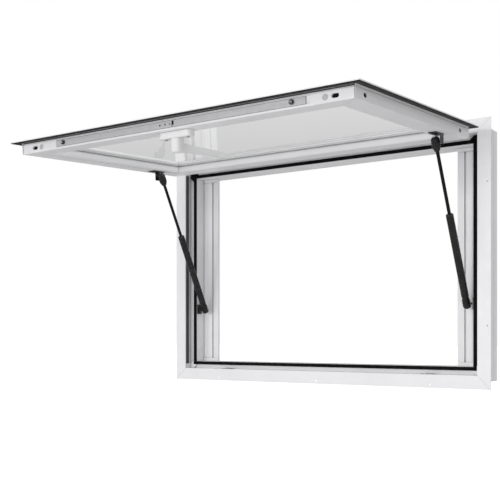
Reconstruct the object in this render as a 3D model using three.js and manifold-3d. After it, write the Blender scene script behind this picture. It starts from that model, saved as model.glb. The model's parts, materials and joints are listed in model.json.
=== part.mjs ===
// Awning service window: an aluminium outer frame, a top-hinged glazed sash shown swung open, two gas
// struts, and a lever handle that drives a sliding lock bar in the edge of the sash's bottom rail.
// Units are millimetres. X runs along the window, +Y points into the wall (the outside is at -Y), and
// Z is up. The origin is on the wall plane, at the middle of the outer flange's bottom edge.
// The sash and what rides on it are drawn closed, inside a group that is turned about the hinge pin.

import * as THREE from 'three';
import { mergeVertices } from 'three/addons/utils/BufferGeometryUtils.js';
import Module from 'manifold-3d';

const manifold = await Module();
manifold.setup();

// ---------------------------------------------------------------------------------------------
// Driving dimensions
// ---------------------------------------------------------------------------------------------

const GAP = 0.3; // clearance between touching pieces

// outer frame
const FRAME_W = 948;
const FRAME_H = 644;
const FLANGE_W = 33; // visible face of the outer flange
const FLANGE_T = 2;
const BOX_INSET = 17; // flange overlap on the wall, which leaves a 914 x 610 box
const BOX_DEPTH = 93;
const LEDGE_Y = 28; // floor of the channel that the sash closes into
const INNER_INSET = 53; // frame walls that face the opening
const WALL = 2;

// sash, measured from the outer edge of its plate
const SASH_INSET = 17; // frame flange left showing round the closed sash
const PLATE_T = 2;
const SASH_FACE_Y = -5.5; // outer face of the closed sash
const SASH_DEPTH = 28;
const TUBE_INSET = 19; // plate overhang beyond the hollow rail, at the top and the sides
const TUBE_INSET_BOTTOM = 21.5; // the bottom rail sits higher, to clear the lock rollers
const BEAD_INSET = 58; // joint between the rail and its glazing bead
const SASH_MITRE = 0.35; // half the joint between two rails
const RAIL_W = 72; // plate edge to the clear glass
const GLASS_BACK = 7;
const GLASS_T = 5;

// hinge
const PIN_Y = -24;
const PIN_Z = 636;
const OPEN_ANGLE = THREE.MathUtils.degToRad(86.6);
const HINGE_LENGTH = 800;
const BEAD_R = 3.2;
const HOOK_INNER_R = 3.8;
const HOOK_OUTER_R = 5.8;

// gas struts, ball to ball
const STRUT_INSET = 74; // from the flange edge to the plane that each strut works in
const LOWER_BALL = { y: 38, z: 206 };
const UPPER_BALL_DROP = 129; // below the top edge of the closed sash
const UPPER_BALL_DEPTH = 43; // behind its outer face
const BALL_R = 5;
const TUBE_R = 9;
const ROD_R = 4;
const TUBE_START = 19;
const TUBE_END = 234;

// lock and handle
const BAR_LEFT = -326;
const BAR_RIGHT = 333;
const BAR_TRAVEL = 10;
const BAR_T = 2.5;
const ROLLER_X = 303.5;
const ROLLER_DEPTH = 15.5; // behind the outer face of the sash
const SPINDLE_INSET = 48.5;
const PINION_TEETH = 10;
const PINION_PITCH_R = BAR_TRAVEL / (Math.PI / 2);
const HANDLE_X = 5;
const LEVER_LENGTH = 205;
const HUB_SIZE = 24;

// ---------------------------------------------------------------------------------------------
// Materials
// ---------------------------------------------------------------------------------------------

function material(color, roughness, metalness) {
  return new THREE.MeshStandardMaterial({ color, roughness, metalness });
}

const whitePaint = () => material(0xe8e8ea, 0.4, 0.0);
const greyPaint = () => material(0xb9bbbf, 0.5, 0.1);
const blackRubber = () => material(0x141414, 0.75, 0.0);
const blackSteel = () => material(0x18181a, 0.35, 0.3);
const brightSteel = () => material(0x9c9ea2, 0.3, 0.9);
const castZinc = () => material(0x8e9094, 0.45, 0.8);
const whitePlastic = () => material(0xf0f0f0, 0.45, 0.0);

function clearGlass() {
  const glass = material(0xdde4e4, 0.05, 0.0);
  glass.transparent = true;
  glass.opacity = 0.35;
  return glass;
}

// ---------------------------------------------------------------------------------------------
// Solids
// ---------------------------------------------------------------------------------------------

function toSolid(geometry) {
  const plain = (geometry.index ? geometry : geometry.clone()).clone();
  plain.deleteAttribute('normal');
  plain.deleteAttribute('uv');
  const merged = mergeVertices(plain, 1e-4);
  const mesh = new manifold.Mesh({
    numProp: 3,
    vertProperties: new Float32Array(merged.attributes.position.array),
    triVerts: new Uint32Array(merged.index.array),
  });
  return new manifold.Manifold(mesh);
}

function toGeometry(solid) {
  const mesh = solid.getMesh();
  const geometry = new THREE.BufferGeometry();
  geometry.setAttribute('position', new THREE.BufferAttribute(new Float32Array(mesh.vertProperties), 3));
  geometry.setIndex(new THREE.BufferAttribute(new Uint32Array(mesh.triVerts), 1));
  return geometry;
}

function joined(...geometries) {
  return toGeometry(geometries.map(toSolid).reduce((whole, piece) => whole.add(piece)));
}

function cutBy(geometry, ...tools) {
  return toGeometry(tools.map(toSolid).reduce((whole, tool) => whole.subtract(tool), toSolid(geometry)));
}

// a box given by its lowest and highest corners
function block(x0, x1, y0, y1, z0, z1) {
  const box = new THREE.BoxGeometry(x1 - x0, y1 - y0, z1 - z0);
  return box.translate((x0 + x1) / 2, (y0 + y1) / 2, (z0 + z1) / 2);
}

// a cylinder along one axis, from one coordinate to another on it
function rod(axis, from, to, radius, centre, sides = 20) {
  const bar = new THREE.CylinderGeometry(radius, radius, to - from, sides);
  const middle = (from + to) / 2;
  if (axis === 'x') return bar.rotateZ(-Math.PI / 2).translate(middle, centre[0], centre[1]);
  if (axis === 'y') return bar.translate(centre[0], middle, centre[1]);
  return bar.rotateX(Math.PI / 2).translate(centre[0], centre[1], middle);
}

// the other hand of a solid, with its faces kept pointing out
function mirroredX(geometry) {
  const other = toGeometry(toSolid(geometry));
  const place = other.attributes.position;
  for (let i = 0; i < place.count; i += 1) place.setX(i, -place.getX(i));
  other.setIndex(Array.from(other.index.array).reverse());
  return other;
}

function shapeOf(points) {
  return new THREE.Shape(points.map(([x, y]) => new THREE.Vector2(x, y)));
}

function extruded(outline, depth) {
  const shape = outline instanceof THREE.Shape ? outline : shapeOf(outline);
  return new THREE.ExtrudeGeometry(shape, { depth, bevelEnabled: false, curveSegments: 8 });
}

function lathed(points, sides = 24) {
  const profile = points.map(([r, z]) => new THREE.Vector2(r, z));
  return new THREE.LatheGeometry(profile, sides).rotateX(Math.PI / 2);
}

// ---------------------------------------------------------------------------------------------
// Mitred lengths round a rectangle
// ---------------------------------------------------------------------------------------------

// A length of an extruded section, mitred at both ends. The section is drawn as points of (inset
// from the rectangle's edge, depth in Y); the length lies along X with its inset rising in Z.
function mitredLength(section, hollows, length, mitreGap = GAP / 2) {
  const shape = shapeOf(section);
  hollows.forEach((hollow) => shape.holes.push(new THREE.Path(shapeOf(hollow).getPoints())));
  const geometry = new THREE.ExtrudeGeometry(shape, { depth: length, bevelEnabled: false });
  const place = geometry.attributes.position;
  for (let i = 0; i < place.count; i += 1) {
    const inset = place.getX(i);
    const cutBack = inset + mitreGap;
    const along = place.getZ(i) < length / 2 ? cutBack : length - cutBack;
    place.setXYZ(i, length / 2 - along, place.getY(i), inset);
  }
  return geometry;
}

const SIDES = [
  { name: 'sill', turn: 0, across: false },
  { name: 'jamb_left', turn: Math.PI / 2, across: true },
  { name: 'head', turn: Math.PI, across: false },
  { name: 'jamb_right', turn: -Math.PI / 2, across: true },
];

// moves a length from the bottom of a rectangle of this size to one of its four sides
function onSide(geometry, side, width, height, centreZ) {
  const reach = (side.across ? width : height) / 2;
  return geometry.translate(0, 0, -reach).rotateY(side.turn).translate(0, 0, centreZ);
}

// a closed ring with square corners, made of four bars of one section
function squareRing(inset0, inset1, y0, y1, width, height, centreZ) {
  const outer = shapeOf([
    [-width / 2 + inset0, centreZ - height / 2 + inset0],
    [width / 2 - inset0, centreZ - height / 2 + inset0],
    [width / 2 - inset0, centreZ + height / 2 - inset0],
    [-width / 2 + inset0, centreZ + height / 2 - inset0],
  ]);
  outer.holes.push(new THREE.Path([
    new THREE.Vector2(-width / 2 + inset1, centreZ - height / 2 + inset1),
    new THREE.Vector2(-width / 2 + inset1, centreZ + height / 2 - inset1),
    new THREE.Vector2(width / 2 - inset1, centreZ + height / 2 - inset1),
    new THREE.Vector2(width / 2 - inset1, centreZ - height / 2 + inset1),
  ]));
  const ring = new THREE.ExtrudeGeometry(outer, { depth: y1 - y0, bevelEnabled: false });
  return ring.rotateX(Math.PI / 2).translate(0, y1, 0);
}

const assembly = new THREE.Group();

function addTo(group, name, geometry, finish) {
  const mesh = new THREE.Mesh(geometry, finish);
  mesh.name = name;
  group.add(mesh);
  return mesh;
}

// ---------------------------------------------------------------------------------------------
// Outer frame
// ---------------------------------------------------------------------------------------------

const SEAM_Y = 66; // shallow groove that runs round the outside of the frame box
const SCREW_HOLE_R = 2.2;
const SCREW_HOLE_INSET = 8.5;

const frameSection = [
  [0, -FLANGE_T],
  [FLANGE_W, -FLANGE_T],
  [FLANGE_W, LEDGE_Y],
  [INNER_INSET, LEDGE_Y],
  [INNER_INSET, BOX_DEPTH],
  [BOX_INSET, BOX_DEPTH],
  [BOX_INSET, SEAM_Y + 1],
  [BOX_INSET + 1, SEAM_Y + 1],
  [BOX_INSET + 1, SEAM_Y - 1],
  [BOX_INSET, SEAM_Y - 1],
  [BOX_INSET, 0],
  [0, 0],
];
const frameHollow = [
  [BOX_INSET + WALL, 0.3],
  [BOX_INSET + WALL, BOX_DEPTH - WALL],
  [INNER_INSET - WALL, BOX_DEPTH - WALL],
  [INNER_INSET - WALL, LEDGE_Y + WALL],
  [FLANGE_W - WALL, LEDGE_Y + WALL],
  [FLANGE_W - WALL, 0.3],
];

function frameMember(side) {
  const length = side.across ? FRAME_H : FRAME_W;
  const member = mitredLength(frameSection, [frameHollow], length);
  const spots = side.across ? [-170.5, 170.5] : [-320, 0, 320];
  const holes = spots.map((x) => rod('y', -FLANGE_T - 1, 1, SCREW_HOLE_R, [x, SCREW_HOLE_INSET], 10));
  const crimpX = length / 2 - 40;
  const crimps = side.across
    ? [-1, 1].map((end) => block(end * crimpX - 7, end * crimpX + 7, 51, 54, BOX_INSET - 1, BOX_INSET + 1.2))
    : [];
  return onSide(cutBy(member, ...holes, ...crimps), side, FRAME_W, FRAME_H, FRAME_H / 2);
}

SIDES.forEach((side) => addTo(assembly, `frame_${side.name}`, frameMember(side), whitePaint()));

// the rubber gasket on the ledge, and the moulded pieces that close its corners
const GASKET_INSET = 43.5;
const GASKET_FACE_Y = 23;
const CORNER_TOP = { leg: 61, shoulder: 50 };
const CORNER_BOTTOM = { leg: 55, shoulder: 46 };

const gasketSection = [
  [GASKET_INSET, GASKET_FACE_Y + 1.6],
  [GASKET_INSET + 1.6, GASKET_FACE_Y],
  [INNER_INSET - 2, GASKET_FACE_Y],
  [INNER_INSET - 0.5, GASKET_FACE_Y + 1.6],
  [INNER_INSET - 0.5, LEDGE_Y - GAP],
  [GASKET_INSET, LEDGE_Y - GAP],
];

SIDES.forEach((side) => {
  const length = side.across ? FRAME_H : FRAME_W;
  const strip = mitredLength(gasketSection, [], length);
  addTo(assembly, `gasket_${side.name}`, onSide(strip, side, FRAME_W, FRAME_H, FRAME_H / 2), blackRubber());
});

function cornerPiece(left, top) {
  const { leg, shoulder } = top ? CORNER_TOP : CORNER_BOTTOM;
  const outline = [
    [FLANGE_W + GAP, FLANGE_W + GAP],
    [shoulder, FLANGE_W + GAP],
    [leg, GASKET_INSET - GAP],
    [GASKET_INSET - GAP, GASKET_INSET - GAP],
    [GASKET_INSET - GAP, leg],
    [FLANGE_W + GAP, shoulder],
  ];
  const piece = extruded(outline, LEDGE_Y - GAP - GASKET_FACE_Y).rotateX(Math.PI / 2);
  piece.translate(-FRAME_W / 2, LEDGE_Y - GAP, -FRAME_H / 2);
  const turns = { 'true false': 0, 'true true': 1, 'false true': 2, 'false false': 3 }[`${left} ${top}`];
  if (turns % 2 === 1) piece.translate((FRAME_W - FRAME_H) / 2, 0, (FRAME_H - FRAME_W) / 2);
  return piece.rotateY((turns * Math.PI) / 2).translate(0, 0, FRAME_H / 2);
}

for (const left of [true, false]) {
  for (const top of [true, false]) {
    const name = `corner_piece_${top ? 'top' : 'bottom'}_${left ? 'left' : 'right'}`;
    addTo(assembly, name, cornerPiece(left, top), top ? blackRubber() : whitePlastic());
  }
}

// upright guide profiles inside the jambs, with an end cap at the top and the bottom
const GUIDE_Y = 62;
const GUIDE_T = 7;
const GUIDE_INSET = INNER_INSET + GAP;
const GUIDE_EDGE = 106;
const GUIDE_CAP = 9;

const guideSection = [
  [GUIDE_INSET, GUIDE_Y],
  [67, GUIDE_Y],
  [67, GUIDE_Y + 1.2],
  [69, GUIDE_Y + 1.2],
  [69, GUIDE_Y],
  [84, GUIDE_Y],
  [84, GUIDE_Y + 4],
  [88.5, GUIDE_Y + 4],
  [88.5, GUIDE_Y],
  [GUIDE_EDGE, GUIDE_Y],
  [GUIDE_EDGE, GUIDE_Y + GUIDE_T],
  [GUIDE_INSET, GUIDE_Y + GUIDE_T],
];

for (const left of [true, false]) {
  const mirror = left ? 1 : -1;
  const name = left ? 'left' : 'right';
  const section = guideSection.map(([inset, y]) => [mirror * (inset - FRAME_W / 2), y]);
  const bottom = INNER_INSET + GUIDE_CAP + GAP;
  const top = FRAME_H - INNER_INSET - GUIDE_CAP - GAP;
  const guide = extruded(left ? section : section.reverse(), top - bottom).translate(0, 0, bottom);
  addTo(assembly, `jamb_guide_${name}`, guide, whitePaint());
  const edges = [GUIDE_INSET, GUIDE_EDGE].map((inset) => mirror * (inset - FRAME_W / 2));
  edges.sort((a, b) => a - b);
  const cap = (z) => block(edges[0], edges[1], GUIDE_Y - 2, GUIDE_Y + GUIDE_T, z, z + GUIDE_CAP - GAP);
  addTo(assembly, `guide_cap_top_${name}`, cap(FRAME_H - INNER_INSET - GUIDE_CAP), whitePlastic());
  addTo(assembly, `guide_cap_bottom_${name}`, cap(INNER_INSET + GAP), whitePlastic());
}

// lower strut mounts: a plate on the jamb's inner wall, with a short stud
const STUD_R = 3;
const MOUNT_HALF = { y: 10, z: 14 };
const SOCKET_R = 9.6;

for (const left of [true, false]) {
  const wallX = FRAME_W / 2 - INNER_INSET - GAP;
  const studTip = FRAME_W / 2 - STRUT_INSET + SOCKET_R + 0.5;
  const { y, z } = LOWER_BALL;
  const plateY = [y - MOUNT_HALF.y, y + MOUNT_HALF.y];
  const plate = block(wallX - 2.5, wallX, ...plateY, z - MOUNT_HALF.z, z + MOUNT_HALF.z);
  const collar = rod('x', wallX - 5, wallX - 2, 6, [y, z], 6);
  const stud = rod('x', studTip, wallX - 4, STUD_R, [y, z], 12);
  const heads = [-10, 10].map((dz) => rod('x', wallX - 3.8, wallX - 2, 3, [y, z + dz], 10));
  const mount = joined(plate, collar, stud, ...heads);
  addTo(assembly, `strut_mount_${left ? 'left' : 'right'}`, left ? mirroredX(mount) : mount, blackSteel());
}

// keepers that the lock rollers slide behind
const KEEPER_TOP = 36.7;

for (const left of [true, false]) {
  const x = left ? -ROLLER_X : ROLLER_X;
  const rollerY = SASH_FACE_Y + ROLLER_DEPTH;
  const foot = block(x - 8, x + 24, rollerY - 9.5, rollerY + 9, FLANGE_W + GAP, FLANGE_W + 1.3);
  const lip = block(x + 6.4, x + 24, rollerY - 9.5, rollerY - 5.6, FLANGE_W + 1, KEEPER_TOP);
  const pocket = block(x - 6, x + 18, rollerY - 5.6, rollerY + 5.6, FLANGE_W - 1, FLANGE_W + 3);
  const mouth = block(x - 6, x + 6, rollerY - 11, rollerY, FLANGE_W - 1, FLANGE_W + 3);
  addTo(assembly, `keeper_${left ? 'left' : 'right'}`, cutBy(joined(foot, lip), pocket, mouth), castZinc());
}

// ---------------------------------------------------------------------------------------------
// Hinge
// ---------------------------------------------------------------------------------------------

function arcPoints(radius, from, to, steps) {
  const points = [];
  for (let i = 0; i <= steps; i += 1) {
    const angle = THREE.MathUtils.degToRad(from + ((to - from) * i) / steps);
    points.push([PIN_Y + radius * Math.cos(angle), PIN_Z + radius * Math.sin(angle)]);
  }
  return points;
}

// an outline in (Y, Z), extruded along X and centred on it
function alongX(outline, length) {
  return extruded(outline, length).rotateZ(Math.PI / 2).rotateY(Math.PI / 2).translate(-length / 2, 0, 0);
}

const HOOK_START = -12; // the hook wraps from here, over the top, to the far side
const HOOK_END = 222;
const ARM_TOP = PIN_Z + 5.2;
const ARM_BOTTOM = PIN_Z + 3.2;

const hookOutline = [
  ...arcPoints(HOOK_OUTER_R, HOOK_START, HOOK_END, 16),
  ...arcPoints(HOOK_INNER_R, HOOK_END, HOOK_START, 16),
];
const armOutline = [
  [PIN_Y + 3.4, ARM_BOTTOM],
  [-FLANGE_T - GAP - 2, ARM_BOTTOM],
  [-FLANGE_T - GAP - 2, 630],
  [-FLANGE_T - GAP, 630],
  [-FLANGE_T - GAP, FRAME_H - 0.5],
  [-FLANGE_T - GAP - 2, FRAME_H - 0.5],
  [-FLANGE_T - GAP - 2, ARM_TOP],
  [PIN_Y + 3.4, ARM_TOP],
];
const fixedLeaf = joined(alongX(hookOutline, HINGE_LENGTH), alongX(armOutline, HINGE_LENGTH));
addTo(assembly, 'hinge_fixed_leaf', fixedLeaf, whitePaint());

// ---------------------------------------------------------------------------------------------
// Sash, drawn closed
// ---------------------------------------------------------------------------------------------

const swing = new THREE.Group();
swing.position.set(0, PIN_Y, PIN_Z);
swing.rotation.x = -OPEN_ANGLE;
assembly.add(swing);
const sash = new THREE.Group();
sash.position.set(0, -PIN_Y, -PIN_Z);
swing.add(sash);

const SASH_W = FRAME_W - 2 * SASH_INSET;
const SASH_H = FRAME_H - 2 * SASH_INSET;
const SASH_MID_Z = FRAME_H / 2;
const SASH_BOTTOM = SASH_MID_Z - SASH_H / 2;
const depthY = (depth) => SASH_FACE_Y + depth;
const LIP_EDGE = 66; // outer lip that holds the glass
const LIP_T = 4;
const DRAIN_DEPTH = 17;
const EDGE_LINE = { from: 6, to: 7.2, deep: 1.2 }; // fine groove along the rail's edge face

function railSection(tubeInset) {
  const points = [
    [0, 0],
    [LIP_EDGE, 0],
    [LIP_EDGE, LIP_T],
    [BEAD_INSET, LIP_T],
    [BEAD_INSET, SASH_DEPTH],
    [tubeInset, SASH_DEPTH],
    [tubeInset, EDGE_LINE.to],
    [tubeInset + EDGE_LINE.deep, EDGE_LINE.to],
    [tubeInset + EDGE_LINE.deep, EDGE_LINE.from],
    [tubeInset, EDGE_LINE.from],
    [tubeInset, PLATE_T],
    [0, PLATE_T],
  ];
  return points.map(([inset, depth]) => [inset, depthY(depth)]);
}

function railHollow(tubeInset, edgeWall) {
  const points = [
    [tubeInset + edgeWall, WALL + 0.3],
    [tubeInset + edgeWall, SASH_DEPTH - WALL],
    [BEAD_INSET - WALL, SASH_DEPTH - WALL],
    [BEAD_INSET - WALL, WALL + 0.3],
  ];
  return points.map(([inset, depth]) => [inset, depthY(depth)]);
}

// a round-ended slot through a rail's edge wall, given along the rail from its middle
function slotTool(x, halfLength, halfWidth, inset, wall) {
  const y = depthY(DRAIN_DEPTH);
  const reach = [inset - 1, inset + wall + 1];
  const straight = halfLength - halfWidth;
  const ends = [-1, 1].map((end) => rod('z', ...reach, halfWidth, [x + end * straight, y], 14));
  return joined(...ends, block(x - straight, x + straight, y - halfWidth, y + halfWidth, ...reach));
}

function stile(side) {
  const length = mitredLength(railSection(TUBE_INSET), [railHollow(TUBE_INSET, WALL)], SASH_H, SASH_MITRE);
  const up = side.name === 'jamb_left' ? -1 : 1;
  const drains = [-246, 231].map((z) => slotTool(up * z, 6.5, 4.4, TUBE_INSET, WALL));
  return cutBy(length, ...drains);
}

// the bottom rail carries the lock: a groove along its edge, a pocket behind it and a spindle hole
const GROOVE = { from: 8.3, to: 23.7, deep: 3 };
const EDGE_WALL = 5.2;
const CASE_HALF = 46;
const PLUG = { x: 375, r: 5.3, holeR: 5.8, deep: 1.2 };

function bottomRail() {
  const inset = TUBE_INSET_BOTTOM;
  const length = mitredLength(railSection(inset), [railHollow(inset, EDGE_WALL)], SASH_W, SASH_MITRE);
  const grooveLeft = BAR_LEFT - GAP;
  const grooveRight = BAR_RIGHT + BAR_TRAVEL + 1;
  const grooveY = [depthY(GROOVE.from), depthY(GROOVE.to)];
  const groove = block(grooveLeft, grooveRight, ...grooveY, inset - 1, inset + GROOVE.deep);
  const window = block(-34, 34, depthY(9.5), depthY(18.5), inset, inset + EDGE_WALL + 1);
  const spindleWall = [depthY(SASH_DEPTH - WALL - 1), depthY(SASH_DEPTH + 1)];
  const spindleHole = rod('y', ...spindleWall, 6, [HANDLE_X, SPINDLE_INSET], 16);
  const drains = [-396, 396].map((x) => slotTool(x, 8, 4.2, inset, EDGE_WALL));
  const plugHoles = [-PLUG.x, PLUG.x].map((x) =>
    rod('z', inset - 1, inset + PLUG.deep, PLUG.holeR, [x, depthY(DRAIN_DEPTH)], 20));
  return cutBy(length, groove, window, spindleHole, ...drains, ...plugHoles);
}

function placedOnSash(geometry, side) {
  return onSide(geometry, side, SASH_W, SASH_H, SASH_MID_Z);
}

const [bottomSide, leftSide, topSide, rightSide] = SIDES;
const topHollow = railHollow(TUBE_INSET, WALL);
const topRail = mitredLength(railSection(TUBE_INSET), [topHollow], SASH_W, SASH_MITRE);
addTo(sash, 'sash_bottom_rail', placedOnSash(bottomRail(), bottomSide), whitePaint());
addTo(sash, 'sash_top_rail', placedOnSash(topRail, topSide), whitePaint());
addTo(sash, 'sash_stile_left', placedOnSash(stile(leftSide), leftSide), whitePaint());
addTo(sash, 'sash_stile_right', placedOnSash(stile(rightSide), rightSide), whitePaint());

[-PLUG.x, PLUG.x].forEach((x) => {
  const plug = rod('z', GAP, PLUG.deep - 0.2, PLUG.r, [x, depthY(DRAIN_DEPTH)], 20);
  plug.translate(0, 0, SASH_BOTTOM + TUBE_INSET_BOTTOM);
  addTo(sash, `edge_plug_${x < 0 ? 'left' : 'right'}`, plug, greyPaint());
});

// glazing: pane, rubber on both faces, and the beads that hold it from the room side
const pane = squareBlock(BEAD_INSET + 1.5, GLASS_BACK, GLASS_BACK + GLASS_T);

function squareBlock(inset, depth0, depth1) {
  const halfW = SASH_W / 2 - inset;
  const halfH = SASH_H / 2 - inset;
  return block(-halfW, halfW, depthY(depth0), depthY(depth1), SASH_MID_Z - halfH, SASH_MID_Z + halfH);
}

function sashRing(inset0, inset1, depth0, depth1) {
  return squareRing(inset0, inset1, depthY(depth0), depthY(depth1), SASH_W, SASH_H, SASH_MID_Z);
}

const BEAD_FRONT = GLASS_BACK + GLASS_T + 1.6;
const beadSection = [
  [BEAD_INSET + GAP, BEAD_FRONT],
  [RAIL_W, BEAD_FRONT],
  [RAIL_W, SASH_DEPTH - 2.5],
  [RAIL_W - 1.5, SASH_DEPTH - 0.6],
  [BEAD_INSET + 1, SASH_DEPTH - 0.6],
  [BEAD_INSET + GAP, SASH_DEPTH - 1.3],
].map(([inset, depth]) => [inset, depthY(depth)]);

addTo(sash, 'glass_pane', pane, clearGlass());
addTo(sash, 'glazing_rubber_outer', sashRing(59.5, 65, LIP_T + GAP, GLASS_BACK - GAP), blackRubber());
const tape = sashRing(60, RAIL_W - 0.2, GLASS_BACK + GLASS_T + GAP, BEAD_FRONT - GAP);
addTo(sash, 'glazing_tape_inner', tape, whitePlastic());
SIDES.forEach((side) => {
  const bead = mitredLength(beadSection, [], side.across ? SASH_H : SASH_W);
  const name = { sill: 'bottom', head: 'top', jamb_left: 'left', jamb_right: 'right' }[side.name];
  addTo(sash, `glazing_bead_${name}`, placedOnSash(bead, side), whitePaint());
});

// the flat seal under the plate's overhang, which lands on the frame's flange
addTo(sash, 'sash_seal', sashRing(1.5, 16.5, PLATE_T + GAP, PLATE_T + 0.8), blackRubber());

// moving hinge leaf: a strip on the sash's outer face, a web, and the round bead in the hook
const webRoot = [SASH_FACE_Y - GAP, FRAME_H - SASH_INSET];
const stripOutline = [
  [webRoot[0] - 2, webRoot[1] - 22],
  [webRoot[0], webRoot[1] - 22],
  [webRoot[0], webRoot[1]],
  [webRoot[0] - 2, webRoot[1]],
];
const webDirection = new THREE.Vector2(webRoot[0] - 1 - PIN_Y, webRoot[1] - 1 - PIN_Z);
const webSide = new THREE.Vector2(-webDirection.y, webDirection.x).normalize();
const webOutline = [
  [PIN_Y + webSide.x, PIN_Z + webSide.y],
  [PIN_Y - webSide.x, PIN_Z - webSide.y],
  [webRoot[0] - 1 - webSide.x, webRoot[1] - 1 - webSide.y],
  [webRoot[0] - 1 + webSide.x, webRoot[1] - 1 + webSide.y],
];
const movingLeaf = joined(
  alongX(arcPoints(BEAD_R, 0, 345, 23), HINGE_LENGTH - 2),
  alongX(webOutline, HINGE_LENGTH - 2),
  alongX(stripOutline, HINGE_LENGTH - 2),
);
addTo(sash, 'hinge_moving_leaf', movingLeaf, whitePaint());

// upper strut brackets: a foot on the stile, an upright tab and a ball stud
const BALL_Z = FRAME_H - SASH_INSET - UPPER_BALL_DROP;
const ballX = FRAME_W / 2 - STRUT_INSET;
const TAB_X = FRAME_W / 2 - 60;

for (const left of [true, false]) {
  const seatY = depthY(SASH_DEPTH) + GAP;
  const foot = block(TAB_X - 16, TAB_X + 2.5, seatY, seatY + 2.2, BALL_Z - 36, BALL_Z + 10);
  const tab = block(TAB_X, TAB_X + 2.5, seatY, depthY(UPPER_BALL_DEPTH) + 8, BALL_Z - 8, BALL_Z + 8);
  const neck = rod('x', ballX, TAB_X + 1, 2.4, [depthY(UPPER_BALL_DEPTH), BALL_Z], 12);
  const ball = new THREE.SphereGeometry(BALL_R, 16, 10).translate(ballX, depthY(UPPER_BALL_DEPTH), BALL_Z);
  const heads = [-27, 2].map((dz) =>
    rod('y', seatY + 2, seatY + 3.4, 3.2, [TAB_X - 9, BALL_Z + dz], 10));
  const bracket = joined(foot, tab, neck, ball, ...heads);
  addTo(sash, `strut_bracket_${left ? 'left' : 'right'}`, left ? mirroredX(bracket) : bracket, blackSteel());
}

// ---------------------------------------------------------------------------------------------
// Lock bar in the edge of the bottom rail
// ---------------------------------------------------------------------------------------------

const railEdge = SASH_BOTTOM + TUBE_INSET_BOTTOM; // height of the bottom rail's edge face when closed
const spindleZ = SASH_BOTTOM + SPINDLE_INSET;
const barZ0 = railEdge + GROOVE.deep - BAR_T - GAP;
const barMid = (GROOVE.from + GROOVE.to) / 2;
const BAR_SIDE_GAP = 0.8;
const barHalf = (GROOVE.to - GROOVE.from) / 2 - BAR_SIDE_GAP;
const TOOTH_PITCH = (2 * Math.PI * PINION_PITCH_R) / PINION_TEETH;
const RACK_DEPTH = { from: 10.5, to: 17.5 };

const barThrough = [barZ0 - 1, barZ0 + BAR_T + 1];
const barHoles = [-19, -5, 7.5].map((x) => rod('z', ...barThrough, 2, [x, depthY(barMid)], 12));
const barSlot = block(12, 18, depthY(barMid - 6), depthY(barMid + 6), ...barThrough);
const barY = [depthY(barMid - barHalf), depthY(barMid + barHalf)];
const bar = block(BAR_LEFT, BAR_RIGHT, ...barY, barZ0, barZ0 + BAR_T);
addTo(sash, 'lock_bar', cutBy(bar, ...barHoles, barSlot), greyPaint());

[-ROLLER_X, ROLLER_X].forEach((x) => {
  const roller = lathed([[0, 0], [3.4, 0], [5, 1], [5, 3.4], [2.8, 3.4], [2.8, 4.1], [0, 4.1]], 20);
  roller.translate(x, depthY(ROLLER_DEPTH), barZ0 - GAP - 4.1);
  addTo(sash, `lock_roller_${x < 0 ? 'left' : 'right'}`, roller, brightSteel());
});

// the rack stands on the bar, inside the rail, and meshes with the pinion on the handle's spindle
const rackPitchZ = spindleZ - PINION_PITCH_R;
const rackFoot = barZ0 + BAR_T + GAP;
const rackRoot = rackPitchZ - 1.9;
const rackTeeth = [0.5, -0.5, -1.5, -2.5, -3.5]; // in pitches, from the spindle
const RACK = { left: -14, right: 10 };
const rackOutline = [[RACK.left, rackFoot], [RACK.right, rackFoot], [RACK.right, rackRoot]];
rackTeeth.forEach((tooth) => {
  const x = HANDLE_X + tooth * TOOTH_PITCH;
  rackOutline.push([x + 1.15, rackRoot], [x + 0.45, rackPitchZ + 0.9]);
  rackOutline.push([x - 0.45, rackPitchZ + 0.9], [x - 1.15, rackRoot]);
});
rackOutline.push([RACK.left, rackRoot]);
const rack = extruded(rackOutline, RACK_DEPTH.to - RACK_DEPTH.from).rotateX(Math.PI / 2);
addTo(sash, 'lock_rack', rack.translate(0, depthY(RACK_DEPTH.to), 0), brightSteel());

// the case round the pinion: a flat sleeve inside the rail
const caseZ = [railEdge + EDGE_WALL + GAP, SASH_BOTTOM + 55.7];
const caseOuter = block(-CASE_HALF, CASE_HALF, depthY(5), depthY(23.5), ...caseZ);
const caseHole = block(-CASE_HALF + 2, CASE_HALF - 2, depthY(7), depthY(21.5), caseZ[0] - 1, caseZ[1] + 1);
const caseBore = rod('y', depthY(20), depthY(25), 6, [HANDLE_X, spindleZ], 16);
addTo(sash, 'lock_case', cutBy(caseOuter, caseHole, caseBore), brightSteel());

// ---------------------------------------------------------------------------------------------
// Handle: a base screwed to the rail, and the lever with its spindle and pinion
// ---------------------------------------------------------------------------------------------

const BASE_LENGTH = 82;
const BASE_T = 13.5;
const BASE_BACK = SASH_DEPTH + GAP;
const HUB_END = 71;
const HUB_CORNER = 9;

function roundedRect(width, height, radius) {
  const shape = new THREE.Shape();
  const x = width / 2;
  const y = height / 2;
  shape.moveTo(-x + radius, -y);
  shape.lineTo(x - radius, -y).absarc(x - radius, -y + radius, radius, -Math.PI / 2, 0, false);
  shape.lineTo(x, y - radius).absarc(x - radius, y - radius, radius, 0, Math.PI / 2, false);
  shape.lineTo(-x + radius, y).absarc(-x + radius, y - radius, radius, Math.PI / 2, Math.PI, false);
  shape.lineTo(-x, -y + radius).absarc(-x + radius, -y + radius, radius, Math.PI, Math.PI * 1.5, false);
  return shape;
}

// a plate in the sash's plane, between two depths, round the spindle
function sashPlate(shape, depth0, depth1) {
  return extruded(shape, depth1 - depth0).rotateX(Math.PI / 2).translate(HANDLE_X, depthY(depth1), spindleZ);
}

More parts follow.
